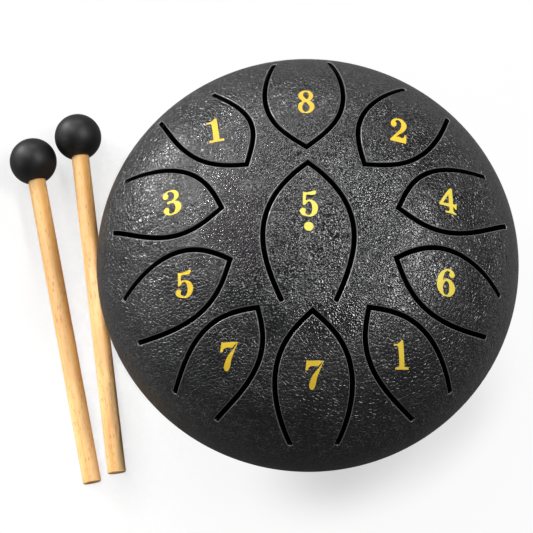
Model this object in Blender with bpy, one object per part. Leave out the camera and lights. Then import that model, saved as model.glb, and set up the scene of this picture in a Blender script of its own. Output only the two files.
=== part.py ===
"""Small steel tongue drum with eleven tuned tongues, and its pair of ball mallets.

Sizes are in metres and +Z is up. The origin is on the table, under the middle of the
whole set: the drum stands to the +X side of it, and the mallets lie to the -X side.
"""

import math
from typing import NamedTuple

import bmesh
import bpy
import numpy as np
from mathutils import Matrix, Vector

# Clearance between pieces that touch or hold each other
FIT_GAP = 0.0003

# Drum shell: two pressed halves of sheet steel
DRUM_RADIUS = 0.076
DOME_HEIGHT = 0.0425
BOWL_HEIGHT = 0.0425
SHELL_WALL = 0.0018
SHOULDER_POWER = 2.4
CROWN_POWER = 2.2
TABLE_CLEARANCE = 0.0025

# Seam between the halves: a V groove filled by a weld that is ground flush
WELD_DEPTH = 0.0012

# Round sound port in the middle of the bowl
PORT_RADIUS = 0.018

# Slots that free the tongues, and the shape that all the tongues share
SLOT_WIDTH = 0.0017
WIDEST_AT = 0.545
ARM_STEPS = 9
SLOT_END_ANGLE = math.radians(60.0)
OVERCUT = 0.001


class Tongue(NamedTuple):
    """One tuned tongue of the outer ring, measured along the dome."""

    bearing: float
    """Degrees round the drum from +X."""
    tip: float
    """From the crown to the tip."""
    land: float
    """From the middle between the slot's ends to the seam."""
    waist: float
    """Half the width at the widest place."""
    mouth: float
    """Half the width between the slot's ends."""
    lean: float
    """How far the root is moved sideways, towards greater bearings."""
    slant: float
    """How much shorter the arm towards greater bearings is, and how much longer the other."""


OUTER_TONGUES = (
    Tongue(92.1, tip=0.0290, land=0.0223, waist=0.0139, mouth=0.0100, lean=-0.0004, slant=0.0007),
    Tongue(50.5, tip=0.0294, land=0.0246, waist=0.0130, mouth=0.0095, lean=0.0005, slant=0.0010),
    Tongue(13.3, tip=0.0308, land=0.0243, waist=0.0119, mouth=0.0092, lean=-0.0002, slant=0.0024),
    Tongue(-20.2, tip=0.0307, land=0.0233, waist=0.0119, mouth=0.0078, lean=-0.0027, slant=0.0005),
    Tongue(-54.9, tip=0.0337, land=0.0200, waist=0.0113, mouth=0.0082, lean=0.0012, slant=0.0),
    Tongue(-89.0, tip=0.0288, land=0.0205, waist=0.0130, mouth=0.0080, lean=-0.0001, slant=0.0),
    Tongue(-122.8, tip=0.0329, land=0.0219, waist=0.0112, mouth=0.0086, lean=-0.0018, slant=0.0002),
    Tongue(-157.7, tip=0.0292, land=0.0248, waist=0.0119, mouth=0.0080, lean=0.0027, slant=-0.0011),
    Tongue(166.5, tip=0.0309, land=0.0234, waist=0.0125, mouth=0.0098, lean=0.0024, slant=0.0004),
    Tongue(133.5, tip=0.0314, land=0.0254, waist=0.0122, mouth=0.0098, lean=-0.0031, slant=-0.0048),
)

# Centre tongue, measured in plan; its tip points to +Y
CENTRE_TIP = 0.023
CENTRE_LENGTH = 0.048
CENTRE_WAIST = 0.0153
CENTRE_MOUTH = 0.0092
CENTRE_OFFSET = -0.0007

# Rubber feet: plugs pushed into holes drilled square to the bowl
FOOT_BEARINGS = {"foot_rear": 90.0, "foot_front_left": 210.0, "foot_front_right": 330.0}
FOOT_CIRCLE_RADIUS = 0.038
FOOT_PAD_RADIUS = 0.0075
FOOT_PAD_STOCK = 0.012
FOOT_PAD_DRAFT = 0.0008
FOOT_STEM_RADIUS = 0.003
FOOT_BARB_RADIUS = 0.0042
FOOT_BARB_TIP_RADIUS = 0.0022
FOOT_BARB_LENGTH = 0.005

# Mallets: a wooden stick pushed into a rubber ball
BALL_RADIUS = 0.0092
STICK_RADIUS = 0.00345
STICK_INSERT = 0.012
STICK_CHAMFER = 0.0004


class Mallet(NamedTuple):
    """Where one mallet lies on the table, to the -X side of the drum."""

    name: str
    beside: float
    """From the drum's widest place out to the middle of the ball."""
    behind: float
    """From the drum's middle back to the middle of the ball."""
    heading: float
    """Degrees from +X, from the ball towards the free end of the stick."""
    length: float
    """From the far side of the ball to the end of the stick."""


MALLETS = (
    Mallet(name="left_mallet", beside=0.0308, behind=0.0512, heading=-78.0, length=0.138),
    Mallet(name="right_mallet", beside=0.0135, behind=0.0614, heading=-82.0, length=0.143),
)

# Facets
SHELL_SEGMENTS = 64
SHELL_STEPS = 12
ROUND_SEGMENTS = 24
BALL_STEPS = 10
ARC_SAMPLES = 400
SHARP_ANGLE = math.radians(35.0)
POLE_MERGE = 1e-7

# Colours and finishes: base colour, roughness and metallic value
BLACK_COAT = ((0.022, 0.022, 0.023), 0.42, 0.0)
WELD_COAT = ((0.026, 0.024, 0.023), 0.38, 0.0)
BLACK_RUBBER = ((0.012, 0.012, 0.013), 0.62, 0.0)
BALL_RUBBER = ((0.016, 0.016, 0.017), 0.50, 0.0)
PALE_WOOD = ((0.66, 0.46, 0.28), 0.55, 0.0)


def outline_point(angle: float, height: float, offset: float) -> tuple[float, float]:
    """Radius and height of a half shell's outline, from its crown at 0 to the seam at a quarter turn."""
    radius = DRUM_RADIUS * math.sin(angle) ** (2.0 / SHOULDER_POWER)
    level = height * max(math.cos(angle), 0.0) ** (2.0 / CROWN_POWER)
    outward = SHOULDER_POWER * (radius / DRUM_RADIUS) ** (SHOULDER_POWER - 1.0) / DRUM_RADIUS
    upward = CROWN_POWER * (level / height) ** (CROWN_POWER - 1.0) / height
    size = math.hypot(outward, upward)
    return radius + offset * outward / size, level + offset * upward / size


def angle_at_radius(radius: float) -> float:
    """Outline angle at which a half shell has this radius."""
    return math.asin((radius / DRUM_RADIUS) ** (SHOULDER_POWER / 2.0))


def angle_at_level(level: float, height: float) -> float:
    """Outline angle at which a half shell of this height has this level above the seam."""
    return math.acos((level / height) ** (CROWN_POWER / 2.0))


def outline(height: float, offset: float, start: float, end: float) -> list[tuple[float, float]]:
    """Outline points of a half shell between two angles, moved out by an offset."""
    return [outline_point(angle, height, offset) for angle in np.linspace(start, end, SHELL_STEPS + 1)]


def half_shell_section(height: float, inner_start: float) -> list[tuple[float, float]]:
    """Wall section of a half shell, down its outside, across the seam and back up its inside."""
    groove_top = FIT_GAP / 2.0 + WELD_DEPTH
    rim = angle_at_level(groove_top, height)
    seam_face = [
        (DRUM_RADIUS - WELD_DEPTH, FIT_GAP / 2.0),
        (DRUM_RADIUS - SHELL_WALL, FIT_GAP / 2.0),
    ]
    outside = outline(height, 0.0, inner_start, rim)
    inside = outline(height, -SHELL_WALL, inner_start, rim)
    return outside + seam_face + inside[::-1]


def dome_arc() -> tuple[np.ndarray, np.ndarray]:
    """Radii down the dome from its crown, and the distance along the dome to each."""
    angles = np.linspace(0.0, math.pi / 2.0, ARC_SAMPLES)
    points = np.array([outline_point(angle, DOME_HEIGHT, 0.0) for angle in angles])
    steps = np.hypot(*np.diff(points, axis=0).T)
    return points[:, 0], np.concatenate(([0.0], np.cumsum(steps)))


def on_dome(plan: Vector) -> tuple[Vector, Vector]:
    """Point of the dome above a plan point, measured from the seam, and the normal there."""
    bearing = math.atan2(plan.y, plan.x)
    angle = angle_at_radius(plan.length)
    radius, level = outline_point(angle, DOME_HEIGHT, 0.0)
    outer_radius, outer_level = outline_point(angle, DOME_HEIGHT, 1.0)
    lean = outer_radius - radius
    turned = Vector((math.cos(bearing), math.sin(bearing)))
    return (
        Vector((plan.x, plan.y, level)),
        Vector((turned.x * lean, turned.y * lean, outer_level - level)),
    )


def half_width(along: float, waist: float, mouth: float) -> float:
    """Half the width of a tongue at a share of its length from the tip: a cubic, level at its widest."""
    rise = along / WIDEST_AT
    bow = waist * rise * (2.0 - rise)
    bow_at_root = waist * (2.0 * WIDEST_AT - 1.0) / WIDEST_AT**2
    flare = (mouth - bow_at_root) / (1.0 - WIDEST_AT) ** 2
    return bow + flare * along * (along - WIDEST_AT) ** 2


def outer_arm(tongue: Tongue, side: int) -> list[Vector]:
    """Plan points down one arm of an outer tongue's slot, from its tip to its root."""
    radii, distances = dome_arc()
    root = distances[-1] - tongue.land - side * tongue.slant
    points = []
    for along in np.linspace(0.0, 1.0, ARM_STEPS + 1):
        distance = tongue.tip + (root - tongue.tip) * along
        radius = float(np.interp(distance, distances, radii))
        sideways = side * half_width(along, tongue.waist, tongue.mouth) + tongue.lean * along
        bearing = math.radians(tongue.bearing) + sideways / radius
        points.append(Vector((radius * math.cos(bearing), radius * math.sin(bearing))))
    return points


def centre_arm(side: int) -> list[Vector]:
    """Plan points down one arm of the centre tongue's slot, from its tip to its root."""
    points = []
    for along in np.linspace(0.0, 1.0, ARM_STEPS + 1):
        sideways = side * half_width(along, CENTRE_WAIST, CENTRE_MOUTH)
        points.append(Vector((CENTRE_OFFSET + sideways, CENTRE_TIP - CENTRE_LENGTH * along)))
    return points


def slot_section(place: Vector, normal: Vector, across: Vector) -> list[Vector]:
    """Four corners of a slot cutter's section, which reaches through the wall."""
    over = normal * OVERCUT
    under = -normal * (SHELL_WALL + OVERCUT)
    return [place + across + over, place - across + over, place - across + under, place + across + under]


def slot_sections(path: list[Vector]) -> list[list[Vector]]:
    """Sections along a slot's path, square to the dome, mitred at its bends and round at its ends."""
    places = [on_dome(plan) for plan in path]
    half = SLOT_WIDTH / 2.0
    sections = []
    last = len(places) - 1
    for index, (place, normal) in enumerate(places):
        before = (place - places[max(index - 1, 0)][0]).normalized()
        after = (places[min(index + 1, last)][0] - place).normalized()
        ahead = (before + after).normalized()
        mitre = 1.0 / max(ahead.dot(before), ahead.dot(after))
        across = normal.cross(ahead).normalized() * half
        round_end = across * math.cos(SLOT_END_ANGLE)
        reach = ahead * half * math.sin(SLOT_END_ANGLE)
        if index == 0:
            sections.append(slot_section(place - reach, normal, round_end))
        sections.append(slot_section(place, normal, across * mitre))
        if index == last:
            sections.append(slot_section(place + reach, normal, round_end))
    return sections


def mesh_object(name: str, bm: bmesh.types.BMesh, material: bpy.types.Material | None) -> bpy.types.Object:
    """Object made from a finished bmesh, with outward faces and smooth shading."""
    bmesh.ops.recalc_face_normals(bm, faces=bm.faces)
    mesh = bpy.data.meshes.new(name)
    bm.to_mesh(mesh)
    bm.free()
    mesh.shade_smooth()
    mesh.set_sharp_from_angle(angle=SHARP_ANGLE)
    item = bpy.data.objects.new(name, mesh)
    if material is not None:
        mesh.materials.append(material)
    bpy.context.scene.collection.objects.link(item)
    return item


def finish(name: str, look: tuple[tuple[float, float, float], float, float]) -> bpy.types.Material:
    """Principled material with a colour, a roughness and a metallic value."""
    colour, roughness, metallic = look
    material = bpy.data.materials.new(name)
    material.use_nodes = True
    shader = material.node_tree.nodes["Principled BSDF"]
    shader.inputs["Base Color"].default_value = (*colour, 1.0)
    shader.inputs["Roughness"].default_value = roughness
    shader.inputs["Metallic"].default_value = metallic
    return material


def revolved(section: list[tuple[float, float]], closed: bool, segments: int) -> bmesh.types.BMesh:
    """Body turned about Z from a section of radii and heights; an open section ends on the axis."""
    bm = bmesh.new()
    verts = [bm.verts.new((radius, 0.0, level)) for radius, level in section]
    followers = verts[1:] + (verts[:1] if closed else [])
    edges = [bm.edges.new(pair) for pair in zip(verts, followers)]
    bmesh.ops.spin(
        bm,
        geom=verts + edges,
        axis=(0.0, 0.0, 1.0),
        cent=(0.0, 0.0, 0.0),
        angle=2.0 * math.pi,
        steps=segments,
        use_merge=True,
    )
    bmesh.ops.remove_doubles(bm, verts=bm.verts, dist=POLE_MERGE)
    return bm


def lofted(bm: bmesh.types.BMesh, sections: list[list[Vector]]) -> None:
    """Add a closed body with flat facets to a bmesh by drawing a face through a row of sections."""
    face = bm.faces.new([bm.verts.new(corner) for corner in sections[0]])
    start_edges = list(face.edges)
    for section in sections[1:]:
        face = bmesh.ops.extrude_discrete_faces(bm, faces=[face])["faces"][0]
        for vert, corner in zip(face.verts, section):
            vert.co = corner
    bmesh.ops.holes_fill(bm, edges=[edge for edge in start_edges if edge.is_valid], sides=4)
    bmesh.ops.triangulate(bm, faces=bm.faces)


def cut(item: bpy.types.Object, cutter: bpy.types.Object) -> None:
    """Cut one body out of another, and keep the cutter as a hidden guide."""
    cutter.hide_render = True
    cutter.display_type = "WIRE"
    cutter.parent = item
    boolean = item.modifiers.new(cutter.name, "BOOLEAN")
    boolean.operation = "DIFFERENCE"
    boolean.solver = "EXACT"
    boolean.object = cutter


def empty(name: str, parent: bpy.types.Object | None) -> bpy.types.Object:
    """Empty that carries the pieces of one moving or standing group."""
    item = bpy.data.objects.new(name, None)
    item.parent = parent
    bpy.context.scene.collection.objects.link(item)
    return item


def seam_level() -> float:
    """Height of the seam above the table, with the bowl's lowest edge clear of it."""
    _, depth_at_port = outline_point(angle_at_radius(PORT_RADIUS), BOWL_HEIGHT, 0.0)
    return depth_at_port + TABLE_CLEARANCE


def make_top_shell(drum: bpy.types.Object) -> None:
    """Upper half of the drum, with the tongues cut free by their slots."""
    body = revolved(half_shell_section(DOME_HEIGHT, 0.0), False, SHELL_SEGMENTS)
    shell = mesh_object("top_shell", body, finish("dome_coat", BLACK_COAT))
    shell.parent = drum
    shell.location.z = seam_level()
    slots = bmesh.new()
    for tongue in OUTER_TONGUES:
        lofted(slots, slot_sections(outer_arm(tongue, 1)[::-1] + outer_arm(tongue, -1)[1:]))
    lofted(slots, slot_sections(centre_arm(-1)[::-1] + centre_arm(1)[1:]))
    cut(shell, mesh_object("slot_cutter", slots, None))


def foot_place(bearing: float) -> Matrix:
    """Placement of a foot on the bowl's outside, with its own +Z square into the bowl."""
    angle = angle_at_radius(FOOT_CIRCLE_RADIUS)
    radius, depth = outline_point(angle, BOWL_HEIGHT, 0.0)
    outer_radius, outer_depth = outline_point(angle, BOWL_HEIGHT, 1.0)
    lean = math.atan2(outer_radius - radius, outer_depth - depth)
    turn = Matrix.Rotation(math.radians(bearing), 4, "Z")
    return turn @ Matrix.Translation((radius, 0.0, -depth)) @ Matrix.Rotation(-lean, 4, "Y")


def make_bottom_shell(drum: bpy.types.Object) -> None:
    """Lower half of the drum, with the sound port and the holes for the feet."""
    section = half_shell_section(BOWL_HEIGHT, angle_at_radius(PORT_RADIUS))
    body = revolved([(radius, -level) for radius, level in section], True, SHELL_SEGMENTS)
    shell = mesh_object("bottom_shell", body, finish("bowl_coat", BLACK_COAT))
    shell.parent = drum
    shell.location.z = seam_level()
    holes = bmesh.new()
    reach = SHELL_WALL / 2.0
    for bearing in FOOT_BEARINGS.values():
        bmesh.ops.create_cone(
            holes,
            cap_ends=True,
            segments=ROUND_SEGMENTS,
            radius1=FOOT_STEM_RADIUS + FIT_GAP,
            radius2=FOOT_STEM_RADIUS + FIT_GAP,
            depth=SHELL_WALL + 2.0 * OVERCUT,
            matrix=foot_place(bearing) @ Matrix.Translation((0.0, 0.0, reach)),
        )
    cut(shell, mesh_object("foot_hole_cutter", holes, None))


def make_seam_weld(drum: bpy.types.Object) -> None:
    """Weld bead that fills the groove between the two halves, ground flush outside."""
    half = WELD_DEPTH + FIT_GAP / 2.0 - FIT_GAP * math.sqrt(2.0)
    section = [(DRUM_RADIUS, half), (DRUM_RADIUS, -half), (DRUM_RADIUS - half, 0.0)]
    body = revolved(section, True, SHELL_SEGMENTS)
    weld = mesh_object("seam_weld", body, finish("weld_coat", WELD_COAT))
    weld.parent = drum
    weld.location.z = seam_level()


def make_feet(drum: bpy.types.Object) -> None:
    """Three rubber plug feet, each with its sole cut level with the table."""
    rubber = finish("foot_rubber", BLACK_RUBBER)
    shoulder = SHELL_WALL + FIT_GAP
    section = [
        (0.0, shoulder + FOOT_BARB_LENGTH),
        (FOOT_BARB_TIP_RADIUS, shoulder + FOOT_BARB_LENGTH),
        (FOOT_BARB_RADIUS, shoulder),
        (FOOT_STEM_RADIUS, shoulder),
        (FOOT_STEM_RADIUS, -FIT_GAP),
        (FOOT_PAD_RADIUS, -FIT_GAP),
        (FOOT_PAD_RADIUS - FOOT_PAD_DRAFT, -FOOT_PAD_STOCK),
        (0.0, -FOOT_PAD_STOCK),
    ]
    for name, bearing in FOOT_BEARINGS.items():
        place = Matrix.Translation((0.0, 0.0, seam_level())) @ foot_place(bearing)
        bm = revolved(section, False, ROUND_SEGMENTS)
        bmesh.ops.bisect_plane(
            bm,
            geom=bm.verts[:] + bm.edges[:] + bm.faces[:],
            plane_co=place.inverted() @ Vector((0.0, 0.0, 0.0)),
            plane_no=place.to_3x3().inverted() @ Vector((0.0, 0.0, -1.0)),
            clear_outer=True,
        )
        bmesh.ops.holes_fill(bm, edges=bm.edges, sides=0)
        foot = mesh_object(name, bm, rubber)
        foot.parent = drum
        foot.matrix_local = place


def make_mallet(mallet: Mallet, drum: bpy.types.Object) -> None:
    """One mallet lying on its ball and the end of its stick; its own +Z runs down the stick."""
    bore = STICK_RADIUS + FIT_GAP
    mouth = math.sqrt(BALL_RADIUS**2 - bore**2)
    stick_start = mouth - STICK_INSERT
    stick_end = mallet.length - BALL_RADIUS
    edge = stick_end - STICK_CHAMFER
    droop = math.asin(BALL_RADIUS / math.hypot(edge, STICK_RADIUS)) - math.atan2(STICK_RADIUS, edge)
    heading = math.radians(mallet.heading)
    carrier = empty(mallet.name, drum)
    carrier.location = (-DRUM_RADIUS - mallet.beside, mallet.behind, BALL_RADIUS)
    carrier.rotation_euler = (0.0, math.pi / 2.0 + droop, heading)

    turns = np.linspace(-math.pi / 2.0, math.acos(bore / BALL_RADIUS), BALL_STEPS + 1)
    ball = [(BALL_RADIUS * math.cos(turn), BALL_RADIUS * math.sin(turn)) for turn in turns]
    ball[0] = (0.0, -BALL_RADIUS)
    bore_floor = stick_start - FIT_GAP
    ball += [(bore, bore_floor), (0.0, bore_floor)]
    rubber = finish(f"{mallet.name}_rubber", BALL_RUBBER)
    head = mesh_object(f"{mallet.name}_head", revolved(ball, False, ROUND_SEGMENTS), rubber)
    head.parent = carrier

    neck = STICK_RADIUS - STICK_CHAMFER
    turned = [
        (0.0, stick_start),
        (neck, stick_start),
        (STICK_RADIUS, stick_start + STICK_CHAMFER),
        (STICK_RADIUS, edge),
        (neck, stick_end),
        (0.0, stick_end),
    ]
    wood = finish(f"{mallet.name}_wood", PALE_WOOD)
    stick = mesh_object(f"{mallet.name}_stick", revolved(turned, False, ROUND_SEGMENTS), wood)
    stick.parent = carrier


def main() -> None:
    """Build the drum and its mallets."""
    for item in list(bpy.data.objects):
        bpy.data.objects.remove(item, do_unlink=True)
    drum = empty("drum", None)
    set_reach = max(mallet.beside for mallet in MALLETS) + BALL_RADIUS
    drum.location.x = set_reach / 2.0
    make_top_shell(drum)
    make_bottom_shell(drum)
    make_seam_weld(drum)
    make_feet(drum)
    for mallet in MALLETS:
        make_mallet(mallet, drum)


main()
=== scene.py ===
"""Looks of a small steel tongue drum and its two ball mallets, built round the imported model.

Sizes are in metres and +Z is up. The drum's axis is on the +X side of the origin, the mallets lie on
the -X side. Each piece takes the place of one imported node, apart from the printed numbers.
"""

import logging
import math
from dataclasses import dataclass
from enum import Enum
from functools import cached_property
from typing import Callable, Sequence

import bmesh
import bpy
import numpy as np
from bmesh.types import BMEdge, BMesh
from mathutils import Euler, Matrix, Vector, noise

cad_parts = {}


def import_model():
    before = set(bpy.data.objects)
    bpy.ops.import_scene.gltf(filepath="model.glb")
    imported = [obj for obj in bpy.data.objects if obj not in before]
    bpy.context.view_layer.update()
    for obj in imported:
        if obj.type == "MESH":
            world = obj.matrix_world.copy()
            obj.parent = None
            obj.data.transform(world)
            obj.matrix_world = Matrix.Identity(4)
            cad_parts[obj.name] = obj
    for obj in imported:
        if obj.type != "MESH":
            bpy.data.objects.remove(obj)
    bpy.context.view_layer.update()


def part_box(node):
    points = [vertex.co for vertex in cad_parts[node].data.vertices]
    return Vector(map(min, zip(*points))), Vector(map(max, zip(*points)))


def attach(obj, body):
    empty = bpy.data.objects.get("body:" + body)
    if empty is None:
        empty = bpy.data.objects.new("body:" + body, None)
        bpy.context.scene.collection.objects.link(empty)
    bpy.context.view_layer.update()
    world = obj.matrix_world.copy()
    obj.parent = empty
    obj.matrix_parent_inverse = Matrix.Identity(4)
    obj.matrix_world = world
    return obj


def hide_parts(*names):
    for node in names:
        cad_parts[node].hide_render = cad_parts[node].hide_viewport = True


LOG = logging.getLogger("tongue_drum")

MM = 0.001
SHADING_ANGLE = math.radians(42.0)
CORNER_ANGLE = math.radians(28.0)
QUARTER_TURN = math.pi / 2.0
NO_TURN = (0.0, 0.0, 0.0)
POLE_MERGE = 1e-7
LIP_DEPTH = "lip_depth"

Pair = tuple[float, float]
Triple = tuple[float, float, float]
Colour = Triple
Section = list[Pair]
Socket = bpy.types.NodeSocket
Feed = Socket | float | Sequence[float]


class Body(str, Enum):
    """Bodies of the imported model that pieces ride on."""

    DRUM = "drum"
    LEFT_MALLET = "left_mallet"
    RIGHT_MALLET = "right_mallet"


class SlotName(str, Enum):
    """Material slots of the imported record."""

    DRUM_COAT = "drum_coat"
    SEAM_COAT = "seam_coat"
    FOOT_RUBBER = "foot_rubber"
    BALL_RUBBER = "ball_rubber"
    STICK_WOOD = "stick_wood"
    NUMBER_PRINT = "number_print"


class Bend(Enum):
    """How an outline passes through one of its points."""

    SMOOTH = "AUTO"
    CORNER = "VECTOR"


class LitInk(Enum):
    """Copies of the one yellow print, each a main tone and its deeper patches: GOLDEN is the plain print
    and the others are painted light and shade.
    """

    # painted shade: a deeper copy of the print
    SHADED_OCHRE = ((0.84, 0.56, 0.040), (0.77, 0.47, 0.022))
    GOLDEN = ((0.93, 0.66, 0.055), (0.80, 0.50, 0.020))
    # painted light: paler copies for numbers that take more light
    LIT_AMBER = ((0.98, 0.71, 0.070), (0.95, 0.62, 0.040))
    LIT_CANARY = ((0.98, 0.80, 0.088), (0.95, 0.70, 0.055))
    # painted sheen: the palest copy, for the print in the middle
    SHEEN_LEMON = ((0.98, 0.87, 0.16), (0.95, 0.78, 0.10))


class CellForm(str, Enum):
    """Forms of cell pattern used in the finishes."""

    ROUND = "SMOOTH_F1"
    CREASED = "DISTANCE_TO_EDGE"


class NodeBoard:
    """Node tree of one material, with short ways to add the nodes that the finishes share."""

    def __init__(self, name: str, centre: Vector, turn: Sequence[float] = NO_TURN) -> None:
        """Start a material with its shader, its output and the place that its patterns are drawn in.

        Args:
            name: the material's name.
            centre: the point that becomes the origin of the patterns.
            turn: how the piece lies, so that its own +Z is the patterns'.
        """
        self.material = bpy.data.materials.new(name)
        self.material.use_nodes = True
        self.tree = self.material.node_tree
        self.shader = self.tree.nodes["Principled BSDF"]
        self.place = self.coordinates(centre, turn)

    def feed(self, socket: Socket, value: Feed) -> None:
        """Fill an input.

        Args:
            socket: the input.
            value: an output that is linked to it, or the input's own value.
        """
        if isinstance(value, Socket):
            self.tree.links.new(value, socket)
        else:
            socket.default_value = value

    def node(self, kind: str, feeds: dict[str | int, Feed], **settings: object) -> bpy.types.Node:
        """Add a node.

        Args:
            kind: Blender's name for the type of node.
            feeds: a value or a socket for each input that is set.
            **settings: the node's own options.

        Returns:
            The new node.
        """
        made = self.tree.nodes.new(kind)
        for name, value in settings.items():
            setattr(made, name, value)
        for socket, value in feeds.items():
            self.feed(made.inputs[socket], value)
        return made

    def coordinates(self, centre: Vector, turn: Sequence[float] = NO_TURN) -> Socket:
        """Object coordinates measured from a centre and turned with the piece.

        Args:
            centre: the point that becomes their origin.
            turn: how the piece lies.

        Returns:
            The socket with the coordinates.
        """
        source = self.node("ShaderNodeTexCoord", {})
        feeds = {"Vector": source.outputs["Object"], "Location": centre, "Rotation": turn}
        return self.node("ShaderNodeMapping", feeds, vector_type="TEXTURE").outputs["Vector"]

    def stretch(self, scale: Triple) -> Socket:
        """The board's coordinates multiplied axis by axis."""
        feeds = {0: self.place, 1: scale}
        return self.node("ShaderNodeVectorMath", feeds, operation="MULTIPLY").outputs[0]

    def length(self, vector: Feed) -> Socket:
        """Length of a vector."""
        return self.node("ShaderNodeVectorMath", {0: vector}, operation="LENGTH").outputs["Value"]

    def axis(self, name: str) -> Socket:
        """One of the board's three coordinates, by the name of its axis."""
        return self.node("ShaderNodeSeparateXYZ", {0: self.place}).outputs[name]

    def noise(self, scale: float | Triple, detail: float, roughness: float = 0.5) -> Socket:
        """Cloudy noise from 0 to 1.

        Args:
            scale: waves per metre, the same all ways or along each axis.
            detail: how many finer octaves are added.
            roughness: how strong each finer octave is.

        Returns:
            The socket with the value.
        """
        waves = (self.stretch(scale), 1.0) if isinstance(scale, tuple) else (self.place, scale)
        feeds = {"Vector": waves[0], "Scale": waves[1], "Detail": detail, "Roughness": roughness}
        return self.node("ShaderNodeTexNoise", feeds).outputs[0]

    def cells(self, scale: float, form: CellForm) -> Socket:
        """Distances in a pattern of cells, with this many cells per metre."""
        feeds = {"Vector": self.place, "Scale": scale}
        return self.node("ShaderNodeTexVoronoi", feeds, feature=form.value).outputs["Distance"]

    def span(self, value: Feed, start: float, end: float, low: float = 0.0, high: float = 1.0) -> Socket:
        """Smooth step of a value: low before the start and high past the end."""
        feeds = {"Value": value, "From Min": start, "From Max": end, "To Min": low, "To Max": high}
        return self.node("ShaderNodeMapRange", feeds, interpolation_type="SMOOTHSTEP").outputs["Result"]

    def chain(self, operation: str, values: Sequence[Feed]) -> Socket:
        """Join values one after the other.

        Args:
            operation: Blender's name for the arithmetic.
            values: what is joined.

        Returns:
            The socket with the result.
        """
        result = values[0]
        for value in values[1:]:
            result = self.node("ShaderNodeMath", {0: result, 1: value}, operation=operation).outputs[0]
        return result

    def sum(self, *terms: Feed) -> Socket:
        """Sum of two or more values."""
        return self.chain("ADD", terms)

    def product(self, *factors: Feed) -> Socket:
        """Product of two or more values."""
        return self.chain("MULTIPLY", factors)

    def weighted(self, *shares: tuple[Feed, float]) -> Socket:
        """Sum of values that are each multiplied by a weight."""
        return self.sum(*[self.product(value, weight) for value, weight in shares])

    def size(self, value: Feed) -> Socket:
        """A value without its sign."""
        return self.node("ShaderNodeMath", {0: value}, operation="ABSOLUTE").outputs[0]

    def blend(self, share: Feed, first: Feed, second: Feed) -> Socket:
        """Value between two values, by a share from 0 to 1."""
        return self.node("ShaderNodeMix", {0: share, 2: first, 3: second}, data_type="FLOAT").outputs[0]

    def tint(self, share: Feed, first: Socket | Colour, second: Socket | Colour) -> Socket:
        """Colour between two colours, by a share from 0 to 1."""
        near, far = [(*end, 1.0) if isinstance(end, tuple) else end for end in (first, second)]
        return self.node("ShaderNodeMix", {0: share, 6: near, 7: far}, data_type="RGBA").outputs[2]

    def bump(self, height: Feed, distance: float, strength: Feed = 1.0) -> Socket:
        """Normal of a surface raised by a height that runs from 0 to a distance."""
        feeds = {"Height": height, "Distance": distance, "Strength": strength}
        return self.node("ShaderNodeBump", feeds).outputs["Normal"]

    def dress(self, colour: Feed, roughness: Feed, normal: Feed, specular: float = 0.5) -> None:
        """Wire up the shader.

        Args:
            colour: what feeds its base colour.
            roughness: what feeds its roughness.
            normal: what feeds its normal.
            specular: strength of its mirror part, the same all over.
        """
        self.feed(self.shader.inputs["Base Color"], colour)
        self.feed(self.shader.inputs["Roughness"], roughness)
        self.feed(self.shader.inputs["Normal"], normal)
        self.feed(self.shader.inputs["Specular IOR Level"], specular)


@dataclass(frozen=True)
class Finish:
    """A finish that can be put on a piece, with its pattern measured from a centre."""

    name: str
    centre: Vector
    turn: Sequence[float] = NO_TURN

    def paint(self, board: NodeBoard) -> None:
        """Add the finish's pattern to a board and wire up its shader."""
        raise NotImplementedError

    def material(self) -> bpy.types.Material:
        """Make the finish's material.

        Returns:
            The material, ready to be put on a mesh.
        """
        board = NodeBoard(self.name, self.centre, self.turn)
        self.paint(board)
        return board.material


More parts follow.
